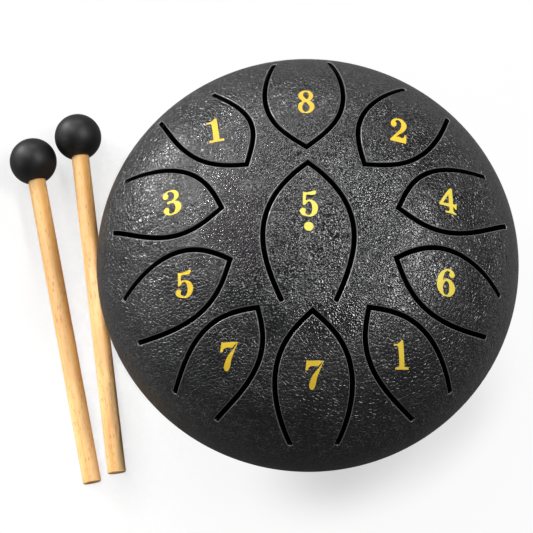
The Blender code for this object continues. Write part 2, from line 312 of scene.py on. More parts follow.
@dataclass(frozen=True)
class TexturedCoat(Finish):
    """Black baked coat: fine grain on the crown, leathery pebbles on the shoulders, calmer at the seam.

    Paler specks on the grain peaks are partly worn tops and partly painted glints. Low on the front the
    paler specks are painted glints, and the lips of the slots are painted paler, partly as rubbed coat and
    partly as a painted edge highlight.
    """

    dark: Colour = (0.003, 0.003, 0.0035)
    # pale: specks on the grain peaks, partly worn tops and partly painted glints
    pale: Colour = (0.034, 0.034, 0.036)
    rim: Colour = (0.014, 0.010, 0.007)
    # lips of the slots: rubbed coat and a painted edge highlight
    rubbed_and_highlit: Colour = (0.175, 0.175, 0.180)
    # painted glints low on the front
    front_glint_paint: Colour = (0.095, 0.095, 0.098)
    relief: float = 0.45 * MM
    patch_scale: float = 105.0
    grain_scale: float = 1800.0
    pebble_scale: float = 820.0
    lump_scale: Triple = (300.0, 560.0, 430.0)
    shoulder_from: Pair = (0.028, 0.050)
    seam_to: Pair = (0.018, 0.004)
    lumpy_from: Pair = (0.002, 0.012)
    low_from: Pair = (-0.001, 0.006)
    low_to: Pair = (0.030, 0.016)
    front_from: Pair = (0.010, -0.045)
    grain_peaks: Pair = (0.46, 0.70)
    patch_middle: Pair = (0.30, 0.70)
    lip_dullness: float = 0.28

    def paint(self, board: NodeBoard) -> None:
        """Add the coat's pattern.

        Args:
            board: the coat's node tree.
        """
        radius = board.length(board.stretch((1.0, 1.0, 0.0)))
        level = board.axis("Z")
        shoulder = board.span(radius, *self.shoulder_from)
        seam = board.span(board.size(level), *self.seam_to)
        low = board.product(board.span(level, *self.low_to), board.span(level, *self.low_from))
        front = board.span(board.axis("Y"), *self.front_from)
        inside = board.node("ShaderNodeAttribute", {}, attribute_name=LIP_DEPTH).outputs["Fac"]
        outside = board.span(inside, 0.0, 0.3, 1.0, 0.0)

        patch = board.noise(self.patch_scale, 3.0, 0.6)
        grain = board.noise(self.grain_scale, 0.0)
        peaks = board.span(grain, *self.grain_peaks)
        pebble = board.cells(self.pebble_scale, CellForm.ROUND)
        crease = board.span(board.cells(self.pebble_scale, CellForm.CREASED), 0.0, 0.22)
        lumps = board.noise(self.lump_scale, 1.0)

        lumpy = board.product(board.span(patch, 0.46, 0.62), board.span(level, *self.lumpy_from))
        swell = board.product(lumps, board.sum(lumpy, low))
        fine = board.weighted((grain, 0.80), (pebble, -0.10))
        coarse = board.weighted((crease, 0.34), (pebble, -0.20), (grain, 0.10), (swell, 0.58))
        height = board.blend(shoulder, fine, coarse)
        worked = board.span(patch, 0.30, 0.66, 0.7, 1.0)

        # paler specks on the grain peaks: partly worn tops, partly painted glints
        speck = board.blend(shoulder, board.span(grain, 0.54, 0.74), board.product(crease, peaks))
        uneven = board.blend(
            shoulder,
            board.span(patch, *self.patch_middle, 0.55, 1.0),
            board.span(patch, *self.patch_middle, 0.25, 1.0),
        )
        # mask of the slots' lips, painted paler as rubbed coat and as a painted edge highlight
        lip = board.product(board.span(inside, 0.02, 0.12), board.span(inside, 0.8, 0.4))
        # painted glints: paler specks low on the front
        front_glint_mask = board.product(low, front, board.span(lumps, 0.40, 0.62, 0.25, 1.0), peaks)
        colour = board.tint(board.product(speck, uneven, outside), self.dark, self.pale)
        colour = board.tint(lip, colour, self.rubbed_and_highlit)
        colour = board.tint(front_glint_mask, colour, self.front_glint_paint)
        colour = board.tint(board.product(seam, 0.5), colour, self.rim)

        dullness = board.sum(
            board.span(patch, 0.28, 0.72, 0.18, 0.28),
            board.product(shoulder, board.span(front, 0.0, 1.0, 0.05, 0.13)),
        )
        dullness = board.blend(outside, self.lip_dullness, dullness)
        board.dress(
            colour=colour,
            roughness=board.sum(dullness, board.product(seam, 0.12)),
            normal=board.bump(height, self.relief, board.product(worked, outside)),
            specular=0.9,
        )


@dataclass(frozen=True)
class DullPrimer(Finish):
    """Thin dull black primer on the cut sides of the slots and the inside of the drum."""

    dark: Colour = (0.002, 0.002, 0.002)
    pale: Colour = (0.006, 0.006, 0.006)
    relief: float = 0.05 * MM
    cloud_scale: float = 240.0
    grain_scale: float = 1500.0

    def paint(self, board: NodeBoard) -> None:
        """Add the primer's pattern.

        Args:
            board: the primer's node tree.
        """
        cloud = board.noise(self.cloud_scale, 3.0, 0.6)
        grain = board.noise(self.grain_scale, 1.0)
        board.dress(
            colour=board.tint(board.span(cloud, 0.35, 0.7), self.dark, self.pale),
            roughness=board.span(grain, 0.3, 0.7, 0.82, 0.95),
            normal=board.bump(grain, self.relief),
            specular=0.05,
        )


@dataclass(frozen=True)
class SeamCoat(Finish):
    """The drum's coat over the ground weld: smoother, and browner where the heat was."""

    dark: Colour = (0.024, 0.021, 0.019)
    brown: Colour = (0.044, 0.035, 0.028)
    relief: float = 0.05 * MM
    heat_scale: float = 70.0
    scratch_scale: Triple = (300.0, 300.0, 2600.0)

    def paint(self, board: NodeBoard) -> None:
        """Add the seam's pattern.

        Args:
            board: the coat's node tree.
        """
        heat = board.noise(self.heat_scale, 3.0, 0.6)
        scratch = board.noise(self.scratch_scale, 3.0, 0.6)
        board.dress(
            colour=board.tint(board.span(heat, 0.34, 0.66), self.dark, self.brown),
            roughness=board.span(scratch, 0.25, 0.75, 0.32, 0.48),
            normal=board.bump(scratch, self.relief),
        )


@dataclass(frozen=True)
class MouldedRubber(Finish):
    """Black moulded rubber with a fine skin and a little pale bloom."""

    dark: Colour = (0.0035, 0.0035, 0.0038)
    bloom: Colour = (0.011, 0.011, 0.0115)
    roughness: float = 0.50
    skin: float = 0.03 * MM
    cloud_scale: float = 160.0
    skin_scale: float = 3200.0
    speck_scale: float = 900.0

    def paint(self, board: NodeBoard) -> None:
        """Add the rubber's pattern.

        Args:
            board: the rubber's node tree.
        """
        cloud = board.noise(self.cloud_scale, 4.0, 0.6)
        skin = board.noise(self.skin_scale, 2.0, 0.55)
        speck = board.span(board.cells(self.speck_scale, CellForm.ROUND), 0.16, 0.05)
        bloom = board.sum(board.span(cloud, 0.36, 0.76, 0.0, 0.55), board.product(speck, 0.25))
        board.dress(
            colour=board.tint(bloom, self.dark, self.bloom),
            roughness=board.span(cloud, 0.3, 0.7, self.roughness - 0.05, self.roughness + 0.07),
            normal=board.bump(skin, self.skin),
        )


@dataclass(frozen=True, kw_only=True)
class SandedWood(Finish):
    """Pale sanded dowel wood: long soft growth lines, short brown pores and darker cut ends."""

    start: float
    end: float
    pale: Colour = (0.90, 0.575, 0.255)
    warm: Colour = (0.84, 0.43, 0.118)
    pore: Colour = (0.60, 0.25, 0.060)
    cut: Colour = (0.50, 0.265, 0.105)
    relief: float = 0.06 * MM
    cut_reach: Pair = (0.35 * MM, 0.05 * MM)
    growth_scale: Triple = (260.0, 260.0, 7.0)
    line_scale: Triple = (2300.0, 1900.0, 18.0)
    fibre_scale: Triple = (5200.0, 5200.0, 90.0)
    pore_scale: Triple = (2700.0, 2700.0, 420.0)
    sparse_scale: Triple = (420.0, 420.0, 60.0)
    ring_scale: Triple = (900.0, 2600.0, 40.0)

    def paint(self, board: NodeBoard) -> None:
        """Add the wood's grain.

        Args:
            board: the wood's node tree, with +Z down the stick.
        """
        growth = board.span(board.noise(self.growth_scale, 2.0), 0.30, 0.72)
        lines = board.noise(self.line_scale, 3.0, 0.6)
        fibre = board.noise(self.fibre_scale, 2.0, 0.6)
        dashes = board.span(board.noise(self.pore_scale, 0.0), 0.61, 0.71)
        sparse = board.span(board.noise(self.sparse_scale, 1.0), 0.40, 0.56)
        rings = board.span(board.noise(self.ring_scale, 3.0, 0.6), 0.3, 0.7)
        pores = board.product(dashes, sparse)
        tone = board.weighted((growth, 0.35), (lines, 0.65))
        body = board.tint(board.span(tone, 0.34, 0.64), self.pale, self.warm)
        pored = board.tint(board.product(pores, 0.75), body, self.pore)
        along = board.axis("Z")
        ends = board.sum(
            board.span(along, *[self.end - reach for reach in self.cut_reach]),
            board.span(along, *[self.start + reach for reach in self.cut_reach]),
        )
        board.dress(
            colour=board.tint(board.product(ends, 0.85), pored, board.tint(rings, self.cut, self.warm)),
            roughness=board.span(lines, 0.25, 0.75, 0.46, 0.60),
            normal=board.bump(board.weighted((fibre, 0.5), (pores, -0.15)), self.relief),
            specular=0.3,
        )


@dataclass(frozen=True)
class NumberPrint(Finish):
    """Yellow print that follows the coat under it, deeper in tone in soft patches."""

    ink: LitInk = LitInk.GOLDEN
    relief: float = 0.06 * MM
    cloud_scale: float = 130.0
    grain_scale: float = 1300.0

    def paint(self, board: NodeBoard) -> None:
        """Add the print's pattern.

        Args:
            board: the print's node tree.
        """
        cloud = board.noise(self.cloud_scale, 3.0, 0.6)
        grain = board.noise(self.grain_scale, 2.0, 0.6)
        deep = board.sum(board.span(cloud, 0.36, 0.70, 0.0, 0.7), board.span(grain, 0.5, 0.8, 0.0, 0.2))
        board.dress(
            colour=board.tint(deep, *self.ink.value),
            roughness=board.span(grain, 0.3, 0.7, 0.36, 0.52),
            normal=board.bump(grain, self.relief),
        )


def clamped(value: float) -> float:
    """A value kept between 0 and 1."""
    return min(max(value, 0.0), 1.0)


def spun(section: Section, closed: bool, segments: int) -> BMesh:
    """Turn a section about Z.

    Args:
        section: radii and heights; an open section ends on the axis.
        closed: whether the section's last point joins its first.
        segments: facets round the body.

    Returns:
        The turned body, with outward faces.
    """
    bm = bmesh.new()
    verts = [bm.verts.new((radius, 0.0, level)) for radius, level in section]
    followers = verts[1:] + (verts[:1] if closed else [])
    edges = [bm.edges.new(pair) for pair in zip(verts, followers)]
    bmesh.ops.spin(
        bm,
        geom=verts + edges,
        axis=(0.0, 0.0, 1.0),
        cent=(0.0, 0.0, 0.0),
        angle=2.0 * math.pi,
        steps=segments,
        use_merge=True,
    )
    bmesh.ops.remove_doubles(bm, verts=bm.verts, dist=POLE_MERGE)
    bmesh.ops.recalc_face_normals(bm, faces=bm.faces)
    return bm


def lofted(bm: BMesh, sections: list[list[Vector]]) -> None:
    """Add a closed body to a bmesh by drawing a face through a row of sections.

    Args:
        bm: the bmesh that gets the body.
        sections: rows of corners, all with the same count and order.
    """
    face = bm.faces.new([bm.verts.new(corner) for corner in sections[0]])
    start_edges = list(face.edges)
    for section in sections[1:]:
        face = bmesh.ops.extrude_discrete_faces(bm, faces=[face])["faces"][0]
        for vert, corner in zip(face.verts, section):
            vert.co = corner
    bmesh.ops.holes_fill(bm, edges=[edge for edge in start_edges if edge.is_valid], sides=0)
    bmesh.ops.triangulate(bm, faces=bm.faces)
    bmesh.ops.recalc_face_normals(bm, faces=bm.faces)


def softened(bm: BMesh, width: float, choose: Callable[[BMEdge], bool], segments: int = 3) -> None:
    """Round some of a body's edges.

    Args:
        bm: the body.
        width: how far the rounding reaches from an edge.
        choose: tells which edges are rounded.
        segments: facets across the rounding.
    """
    bmesh.ops.bevel(
        bm,
        geom=[edge for edge in bm.edges if choose(edge)],
        offset=width,
        offset_type="OFFSET",
        segments=segments,
        profile=0.5,
        affect="EDGES",
        clamp_overlap=True,
        material=-1,
    )


def sharp_edge(edge: BMEdge) -> bool:
    """Whether two faces meet at an edge in a plain corner."""
    return len(edge.link_faces) == 2 and edge.calc_face_angle() > CORNER_ANGLE


def mesh_of(name: str, bm: BMesh) -> bpy.types.Mesh:
    """Make a mesh with smooth shading and sharp corners.

    Args:
        name: the mesh's name.
        bm: the finished body, which is used up.

    Returns:
        The mesh.
    """
    mesh = bpy.data.meshes.new(name)
    bm.to_mesh(mesh)
    bm.free()
    mesh.shade_smooth()
    mesh.set_sharp_from_angle(angle=SHADING_ANGLE)
    return mesh


def placed(name: str, data: bpy.types.ID) -> bpy.types.Object:
    """Put a mesh, a curve, a light or a camera in the scene.

    Args:
        name: the object's name.
        data: what the object holds.

    Returns:
        The object, at the origin.
    """
    item = bpy.data.objects.new(name, data)
    bpy.context.scene.collection.objects.link(item)
    return item


def baked(item: bpy.types.Object) -> BMesh:
    """Take an object's shape as its modifiers or its curve make it.

    Args:
        item: the object, which stays as it is.

    Returns:
        A bmesh of the shape.
    """
    mesh = bpy.data.meshes.new_from_object(item.evaluated_get(bpy.context.evaluated_depsgraph_get()))
    bm = bmesh.new()
    bm.from_mesh(mesh)
    bpy.data.meshes.remove(mesh)
    return bm


def cut(bm: BMesh, cutters: BMesh) -> BMesh:
    """Cut bodies out of a body.

    Args:
        bm: the body, which is used up.
        cutters: the bodies that are taken out, which are used up.

    Returns:
        What is left of the body.
    """
    item = placed("blank", mesh_of("blank", bm))
    tool = placed("cutter", mesh_of("cutter", cutters))
    boolean = item.modifiers.new("cut", "BOOLEAN")
    boolean.operation = "DIFFERENCE"
    boolean.solver = "MANIFOLD"
    boolean.object = tool
    left = baked(item)
    for used in (item, tool):
        mesh = used.data
        bpy.data.objects.remove(used)
        bpy.data.meshes.remove(mesh)
    return left


def hand_over(
    name: str, bm: BMesh, looks: Sequence[Finish], body: Body, slot: SlotName, *nodes: str
) -> None:
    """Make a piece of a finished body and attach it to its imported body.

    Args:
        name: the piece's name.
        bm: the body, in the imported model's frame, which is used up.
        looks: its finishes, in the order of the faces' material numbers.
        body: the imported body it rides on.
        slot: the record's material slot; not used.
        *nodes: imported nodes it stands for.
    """
    mesh = mesh_of(name, bm)
    for look in looks:
        mesh.materials.append(look.material())
    item = placed(name, mesh)
    shading = item.modifiers.new("face_weighted_shading", "WEIGHTED_NORMAL")
    shading.keep_sharp = True
    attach(item, body.value)
    if nodes:
        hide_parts(*nodes)
    triangles = sum(len(polygon.vertices) - 2 for polygon in mesh.polygons)
    LOG.info("%s: %d triangles on %s", name, triangles, body.value)


@dataclass(frozen=True)
class ShellOutline:
    """Curve that both half shells are pressed to, measured from the middle of the seam."""

    radius: float = 0.076
    height: float = 0.0425
    wall: float = 0.0018
    shoulder_power: float = 2.4
    crown_power: float = 2.2
    arc_samples: int = 400

    def point(self, angle: float, offset: float = 0.0) -> Pair:
        """Point of the outline.

        Args:
            angle: 0 at the crown and a quarter turn at the seam.
            offset: how far out of the outline the point is moved.

        Returns:
            Its radius and its level above the seam.
        """
        radius = self.radius * math.sin(angle) ** (2.0 / self.shoulder_power)
        level = self.height * max(math.cos(angle), 0.0) ** (2.0 / self.crown_power)
        spread, rise = radius / self.radius, level / self.height
        outward = self.shoulder_power * spread ** (self.shoulder_power - 1.0) / self.radius
        upward = self.crown_power * rise ** (self.crown_power - 1.0) / self.height
        size = math.hypot(outward, upward)
        return radius + offset * outward / size, level + offset * upward / size

    def angle_at_radius(self, radius: float) -> float:
        """Angle at which the outline has this radius."""
        return math.asin(min(radius / self.radius, 1.0) ** (self.shoulder_power / 2.0))

    def angle_at_level(self, level: float) -> float:
        """Angle at which the outline has this level."""
        return math.acos((level / self.height) ** (self.crown_power / 2.0))

    @cached_property
    def arc(self) -> tuple[np.ndarray, np.ndarray]:
        """Measure the outline.

        Returns:
            Angles down the outline, and the distance along it from the crown to each.
        """
        angles = np.linspace(0.0, QUARTER_TURN, self.arc_samples)
        points = np.array([self.point(angle) for angle in angles])
        steps = np.hypot(*np.diff(points, axis=0).T)
        return angles, np.concatenate(([0.0], np.cumsum(steps)))

    def angle_at_distance(self, distance: float) -> float:
        """Angle at this distance along the outline from the crown."""
        angles, distances = self.arc
        return float(np.interp(distance, distances, angles))

    def distance_at_angle(self, angle: float) -> float:
        """Distance along the outline from the crown to this angle."""
        angles, distances = self.arc
        return float(np.interp(angle, angles, distances))

    def run(self, start: float, end: float, steps: int, offset: float = 0.0) -> Section:
        """Points evenly spaced along the outline.

        Args:
            start: first angle.
            end: last angle.
            steps: gaps between the points.
            offset: how far out of the outline the points are moved.

        Returns:
            Radii and levels.
        """
        distances = np.linspace(self.distance_at_angle(start), self.distance_at_angle(end), steps + 1)
        inner = [self.angle_at_distance(distance) for distance in distances[1:-1]]
        return [self.point(angle, offset) for angle in (start, *inner, end)]

    def above(self, plan: Vector) -> tuple[Vector, Vector]:
        """Point of the dome above a plan point, and the normal there.

        Args:
            plan: the point as seen from above, from the drum's axis.

        Returns:
            The point, measured from the middle of the seam, and the outward normal.
        """
        angle = self.angle_at_radius(plan.xy.length)
        radius, level = self.point(angle)
        outer_radius, outer_level = self.point(angle, 1.0)
        bearing = math.atan2(plan.y, plan.x)
        lean = outer_radius - radius
        normal = Vector((lean * math.cos(bearing), lean * math.sin(bearing), outer_level - level))
        return Vector((plan.x, plan.y, level)), normal


@dataclass(frozen=True)
class CoatRelief:
    """Unevenness of the baked coat, sunk below the pressed outline."""

    least: float = 0.035 * MM
    depth: float = 0.055 * MM
    pebble_pitch: float = 2.3 * MM
    pebble_share: float = 0.42
    swell_pitch: float = 9.0 * MM
    swell_share: float = 0.30
    swell_shift: Triple = (7.0, 3.0, 5.0)
    fade: float = 0.016
    skin: float = 0.02 * MM
    lip_depth: float = 0.26 * MM
    primer_from: float = 0.9

    def sink(self, place: Vector) -> float:
        """Tell how far the coat lies below the outline.

        Args:
            place: a point of the outline, measured from the middle of the seam.

        Returns:
            The coat's depth there.
        """
        pebble = noise.noise(place / self.pebble_pitch)
        swell = noise.noise(place / self.swell_pitch + Vector(self.swell_shift))
        uneven = clamped(0.5 + self.pebble_share * pebble + self.swell_share * swell)
        return self.least + self.depth * uneven * clamped(abs(place.z) / self.fade)

    def press(self, bm: BMesh, outline: ShellOutline) -> None:
        """Sink the outer skin of a turned half shell.

        Args:
            bm: the half shell, which stands on the seam's middle.
            outline: the curve it was pressed to.
        """
        for vert in bm.verts:
            angle = outline.angle_at_radius(math.hypot(vert.co.x, vert.co.y))
            if abs(abs(vert.co.z) - outline.point(angle)[1]) < self.skin:
                vert.co -= vert.normal * self.sink(vert.co)

    def mark_depth(self, bm: BMesh, outline: ShellOutline) -> None:
        """Note how far each point lies below the coat, and give faces well below it the second material.

        Args:
            bm: a half shell that stands on the seam's middle.
            outline: the curve it was pressed to.
        """
        layer = bm.verts.layers.float.new(LIP_DEPTH)
        for vert in bm.verts:
            place, normal = outline.above(vert.co)
            raised = Vector((vert.co.x, vert.co.y, abs(vert.co.z)))
            depth = (place - raised).dot(normal) - self.sink(place)
            vert[layer] = clamped(depth / self.lip_depth) if raised.z > self.fade / 2.0 else 0.0
        for face in bm.faces:
            face.material_index = int(min(vert[layer] for vert in face.verts) > self.primer_from)


@dataclass(frozen=True)
class SlotTool:
    """Cutter for the slots round the tongues, with a rounded lip at the outer skin.

    The lip is in millimetres out and up, the ends in shares of a corner's distance from the middle.
    """

    width: float = 1.65 * MM
    over: float = 1.0 * MM
    skin: float = 0.06 * MM
    lip: tuple[Pair, ...] = ((0.62, 0.13), (0.36, 0.01), (0.16, -0.09), (0.04, -0.22), (0.0, -0.42))
    ends: tuple[Pair, ...] = ((1.0, 0.40), (0.86, 0.74), (0.45, 0.92))

    def corners(self, wall: float) -> Section:
        """Section of the cutter, all the way round.

        Args:
            wall: thickness of the wall that is cut.

        Returns:
            Distances from the cutter's middle and heights over the outline.
        """
        half = self.width / 2.0
        lip = [(half + out * MM, up * MM - self.skin) for out, up in self.lip]
        side = [(lip[0][0], self.over), *lip, (half, -wall - self.over)]
        return side + [(-across, height) for across, height in reversed(side)]

    def sections(self, outline: ShellOutline, path: list[Vector]) -> list[list[Vector]]:
        """Sections along a slot's path, square to the dome, mitred at bends and rounded at both ends.

        Args:
            outline: the dome's outline.
            path: plan points from one end of the slot to the other.

        Returns:
            Rows of corners, measured from the middle of the seam.
        """
        places = [outline.above(plan) for plan in path]
        corners = self.corners(outline.wall)
        last = len(places) - 1
        rows = []
        for index, (place, normal) in enumerate(places):
            before = (place - places[max(index - 1, 0)][0]).normalized()
            after = (places[min(index + 1, last)][0] - place).normalized()
            ahead = (before + after).normalized()
            mitre = 1.0 / max(ahead.dot(before), ahead.dot(after))
            side = normal.cross(ahead).normalized()
            steps = [(mitre, 0.0)]
            if index == 0:
                steps = [(share, -reach) for share, reach in reversed(self.ends)] + steps
            if index == last:
                steps = steps + list(self.ends)
            for share, reach in steps:
                rows.append(
                    [
                        place + side * (across * share) + ahead * (abs(across) * reach) + normal * height
                        for across, height in corners
                    ]
                )
        return rows


@dataclass(frozen=True)
class TongueShape:
    """Half width of a tongue along its length, which all the tongues share."""

    widest_at: float = 0.545
    steps: int = 34
    tip_clear: float = 2.4 * MM

    def half_width(self, along: float, waist: float, mouth: float) -> float:
        """Half the width at a share of the length from the tip: a cubic that is level at its widest.

        Args:
            along: share of the length from the tip.
            waist: half the greatest width.
            mouth: half the width between the slot's ends.

        Returns:
            Half the width there.
        """
        rise = along / self.widest_at
        bow = waist * rise * (2.0 - rise)
        bow_at_root = waist * (2.0 * self.widest_at - 1.0) / self.widest_at**2
        flare = (mouth - bow_at_root) / (1.0 - self.widest_at) ** 2
        return bow + flare * along * (along - self.widest_at) ** 2

    def shares(self, length: float) -> list[float]:
        """Shares of a tongue's length at which its slot is drawn, with none too near the tip's bend."""
        evenly = [step / self.steps for step in range(1, self.steps + 1)]
        return [0.0, *(share for share in evenly if share * length >= self.tip_clear)]


class Tongue:
    """A tongue of the dome, cut free by one slot of two arms that meet at its tip."""

    def arm(self, outline: ShellOutline, shape: TongueShape, side: int) -> list[Vector]:
        """Plan points along one arm of the slot, from the tip, on the side 1 or -1."""
        raise NotImplementedError

    def path(self, outline: ShellOutline, shape: TongueShape) -> list[Vector]:
        """Plan points along the whole slot, from one end round the tip to the other."""
        first, second = [self.arm(outline, shape, side) for side in (1, -1)]
        return first[::-1] + second[1:]


@dataclass(frozen=True)
class OuterTongue(Tongue):
    """One tongue of the outer ring: its bearing in degrees, then millimetres along the dome."""

    bearing: float
    tip: float
    land: float
    waist: float
    mouth: float
    lean: float
    slant: float

    def arm(self, outline: ShellOutline, shape: TongueShape, side: int) -> list[Vector]:
        """Plan points along one arm of the slot.

        Args:
            outline: the dome's outline.
            shape: how the half width runs.
            side: 1 for the arm at the greater bearing, -1 for the other.

        Returns:
            The points, from the tip outwards.
        """
        tip = self.tip * MM
        length = outline.distance_at_angle(QUARTER_TURN) - tip - (self.land + side * self.slant) * MM
        points = []
        for along in shape.shares(length):
            radius = outline.point(outline.angle_at_distance(tip + length * along))[0]
            sideways = side * shape.half_width(along, self.waist, self.mouth) + self.lean * along
            bearing = math.radians(self.bearing) + sideways * MM / radius
            points.append(Vector((radius * math.cos(bearing), radius * math.sin(bearing), 0.0)))
        return points


@dataclass(frozen=True)
class CentreTongue(Tongue):
    """The tongue in the middle, in millimetres as seen from above; its tip points to +Y."""

    tip: float = 23.0
    length: float = 48.0
    waist: float = 15.3
    mouth: float = 9.2
    offset: float = -0.7

    def arm(self, outline: ShellOutline, shape: TongueShape, side: int) -> list[Vector]:
        """Plan points along one arm of the slot.

        Args:
            outline: the dome's outline, which a plan measure doesn't need.
            shape: how the half width runs.
            side: 1 for the arm on the left, -1 for the other.

        Returns:
            The points, from the tip to the front.
        """
        points = []
        for along in shape.shares(self.length * MM):
            across = self.offset - side * shape.half_width(along, self.waist, self.mouth)
            points.append(Vector((across, self.tip - self.length * along, 0.0)) * MM)
        return points


TONGUES = (
    OuterTongue(92.1, tip=29.0, land=22.3, waist=13.9, mouth=10.0, lean=-0.4, slant=0.7),
    OuterTongue(50.5, tip=29.4, land=24.6, waist=13.0, mouth=9.5, lean=0.5, slant=1.0),
    OuterTongue(13.3, tip=30.8, land=24.3, waist=11.9, mouth=9.2, lean=-0.2, slant=2.4),
    OuterTongue(-20.2, tip=30.7, land=23.3, waist=11.9, mouth=7.8, lean=-2.7, slant=0.5),
    OuterTongue(-54.9, tip=33.7, land=20.0, waist=11.3, mouth=8.2, lean=1.2, slant=0.0),
    OuterTongue(-89.0, tip=28.8, land=20.5, waist=13.0, mouth=8.0, lean=-0.1, slant=0.0),
    OuterTongue(-122.8, tip=32.9, land=21.9, waist=11.2, mouth=8.6, lean=-1.8, slant=0.2),
    OuterTongue(-157.7, tip=29.2, land=24.8, waist=11.9, mouth=8.0, lean=2.7, slant=-1.1),
    OuterTongue(166.5, tip=30.9, land=23.4, waist=12.5, mouth=9.8, lean=2.4, slant=0.4),
    OuterTongue(133.5, tip=31.4, land=25.4, waist=12.2, mouth=9.8, lean=-3.1, slant=-4.8),
    CentreTongue(),
)


@dataclass(frozen=True)
class DrumShell:
    """The two pressed halves of the drum: the dome with its tongues and the bowl with its port."""

    centre: Vector
    outline: ShellOutline = ShellOutline()
    relief: CoatRelief = CoatRelief()
    slot_tool: SlotTool = SlotTool()
    tongue_shape: TongueShape = TongueShape()
    fit_gap: float = 0.3 * MM
    weld_depth: float = 1.2 * MM
    port_radius: float = 18.0 * MM
    port_rounding: float = 0.6 * MM
    port_brink: float = 0.4 * MM
    level_slack: float = 0.05 * MM
    foot_circle: float = 38.0 * MM
    foot_hole: float = 3.3 * MM
    hole_over: float = 4.0 * MM
    hole_segments: int = 48
    dome_segments: int = 560
    dome_steps: int = 118
    bowl_segments: int = 320
    bowl_steps: int = 70
    inner_steps: int = 14

    def section(self, start: float, steps: int) -> Section:
        """Wall section of a half shell.

        Args:
            start: the angle at which the section starts, near the axis.
            steps: facets down the outside.

        Returns:
            Radii and levels, down the outside, across the seam and back up the inside.
        """
        outline = self.outline
        seam_level = self.fit_gap / 2.0
        rim = outline.angle_at_level(seam_level + self.weld_depth)
        seam_face = [(outline.radius - depth, seam_level) for depth in (self.weld_depth, outline.wall)]
        outside = outline.run(start, rim, steps)
        inside = outline.run(start, rim, self.inner_steps, -outline.wall)
        return outside + seam_face + inside[::-1]

    def looks(self, name: str) -> tuple[Finish, Finish]:
        """Finishes of a half shell: its coat, and the primer on cut sides and inside."""
        return TexturedCoat(f"{name}_coat", self.centre), DullPrimer(f"{name}_primer", self.centre)

    def raised(self, bm: BMesh) -> BMesh:
        """Lift a body from the seam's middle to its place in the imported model."""
        bmesh.ops.translate(bm, verts=bm.verts, vec=self.centre)
        return bm

    def finish_half(self, name: str, body: BMesh, cutters: BMesh, node: str) -> None:
        """Cut a half shell, mark its coat and primer and hand it over.

        Args:
            name: the piece's name.
            body: the half shell, which stands on the seam's middle and is used up.
            cutters: what is cut out of it, which is used up.
            node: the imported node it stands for.
        """
        left = cut(body, cutters)
        self.relief.mark_depth(left, self.outline)
        hand_over(name, self.raised(left), self.looks(name), Body.DRUM, SlotName.DRUM_COAT, node)

    def build_dome(self) -> None:
        """Upper half, with the tongues cut free."""
        body = spun(self.section(0.0, self.dome_steps), closed=False, segments=self.dome_segments)
        self.relief.press(body, self.outline)
        slots = bmesh.new()
        for tongue in TONGUES:
            path = tongue.path(self.outline, self.tongue_shape)
            lofted(slots, self.slot_tool.sections(self.outline, path))
        self.finish_half("dome", body, slots, "top_shell")

    def foot_place(self, bearing: float) -> Matrix:
        """Placement of a foot on the bowl's outside.

        Args:
            bearing: degrees round the drum from +X.

        Returns:
            A frame measured from the seam's middle, with its own +Z square into the bowl.
        """
        angle = self.outline.angle_at_radius(self.foot_circle)
        radius, depth = self.outline.point(angle)
        outer_radius, outer_depth = self.outline.point(angle, 1.0)
        lean = math.atan2(outer_radius - radius, outer_depth - depth)
        turn = Matrix.Rotation(math.radians(bearing), 4, "Z")
        return turn @ Matrix.Translation((radius, 0.0, -depth)) @ Matrix.Rotation(-lean, 4, "Y")

    def on_port(self, edge: BMEdge) -> bool:
        """Tell whether an edge runs round one of the port's two corners.

        Args:
            edge: an edge of the bowl.

        Returns:
            Whether it is one that gets rounded.
        """
        first, second = [vert.co for vert in edge.verts]
        inside = max(first.xy.length, second.xy.length) < self.port_radius + self.port_brink
        return inside and abs(first.z - second.z) < self.level_slack and sharp_edge(edge)

    def build_bowl(self, bearings: Sequence[float]) -> None:
        """Lower half, with the sound port and a hole for each foot.

        Args:
            bearings: where the feet stand, in degrees from +X.
        """
        start = self.outline.angle_at_radius(self.port_radius)
        section = [(radius, -level) for radius, level in self.section(start, self.bowl_steps)]
        body = spun(section, closed=True, segments=self.bowl_segments)
        self.relief.press(body, self.outline)
        softened(body, self.port_rounding, self.on_port)
        holes = bmesh.new()
        mid_wall = Matrix.Translation((0.0, 0.0, self.outline.wall / 2.0))
        for bearing in bearings:
            bmesh.ops.create_cone(
                holes,
                cap_ends=True,
                segments=self.hole_segments,
                radius1=self.foot_hole,
                radius2=self.foot_hole,
                depth=self.outline.wall + self.hole_over,
                matrix=self.foot_place(bearing) @ mid_wall,
            )
        self.finish_half("bowl", body, holes, "bottom_shell")


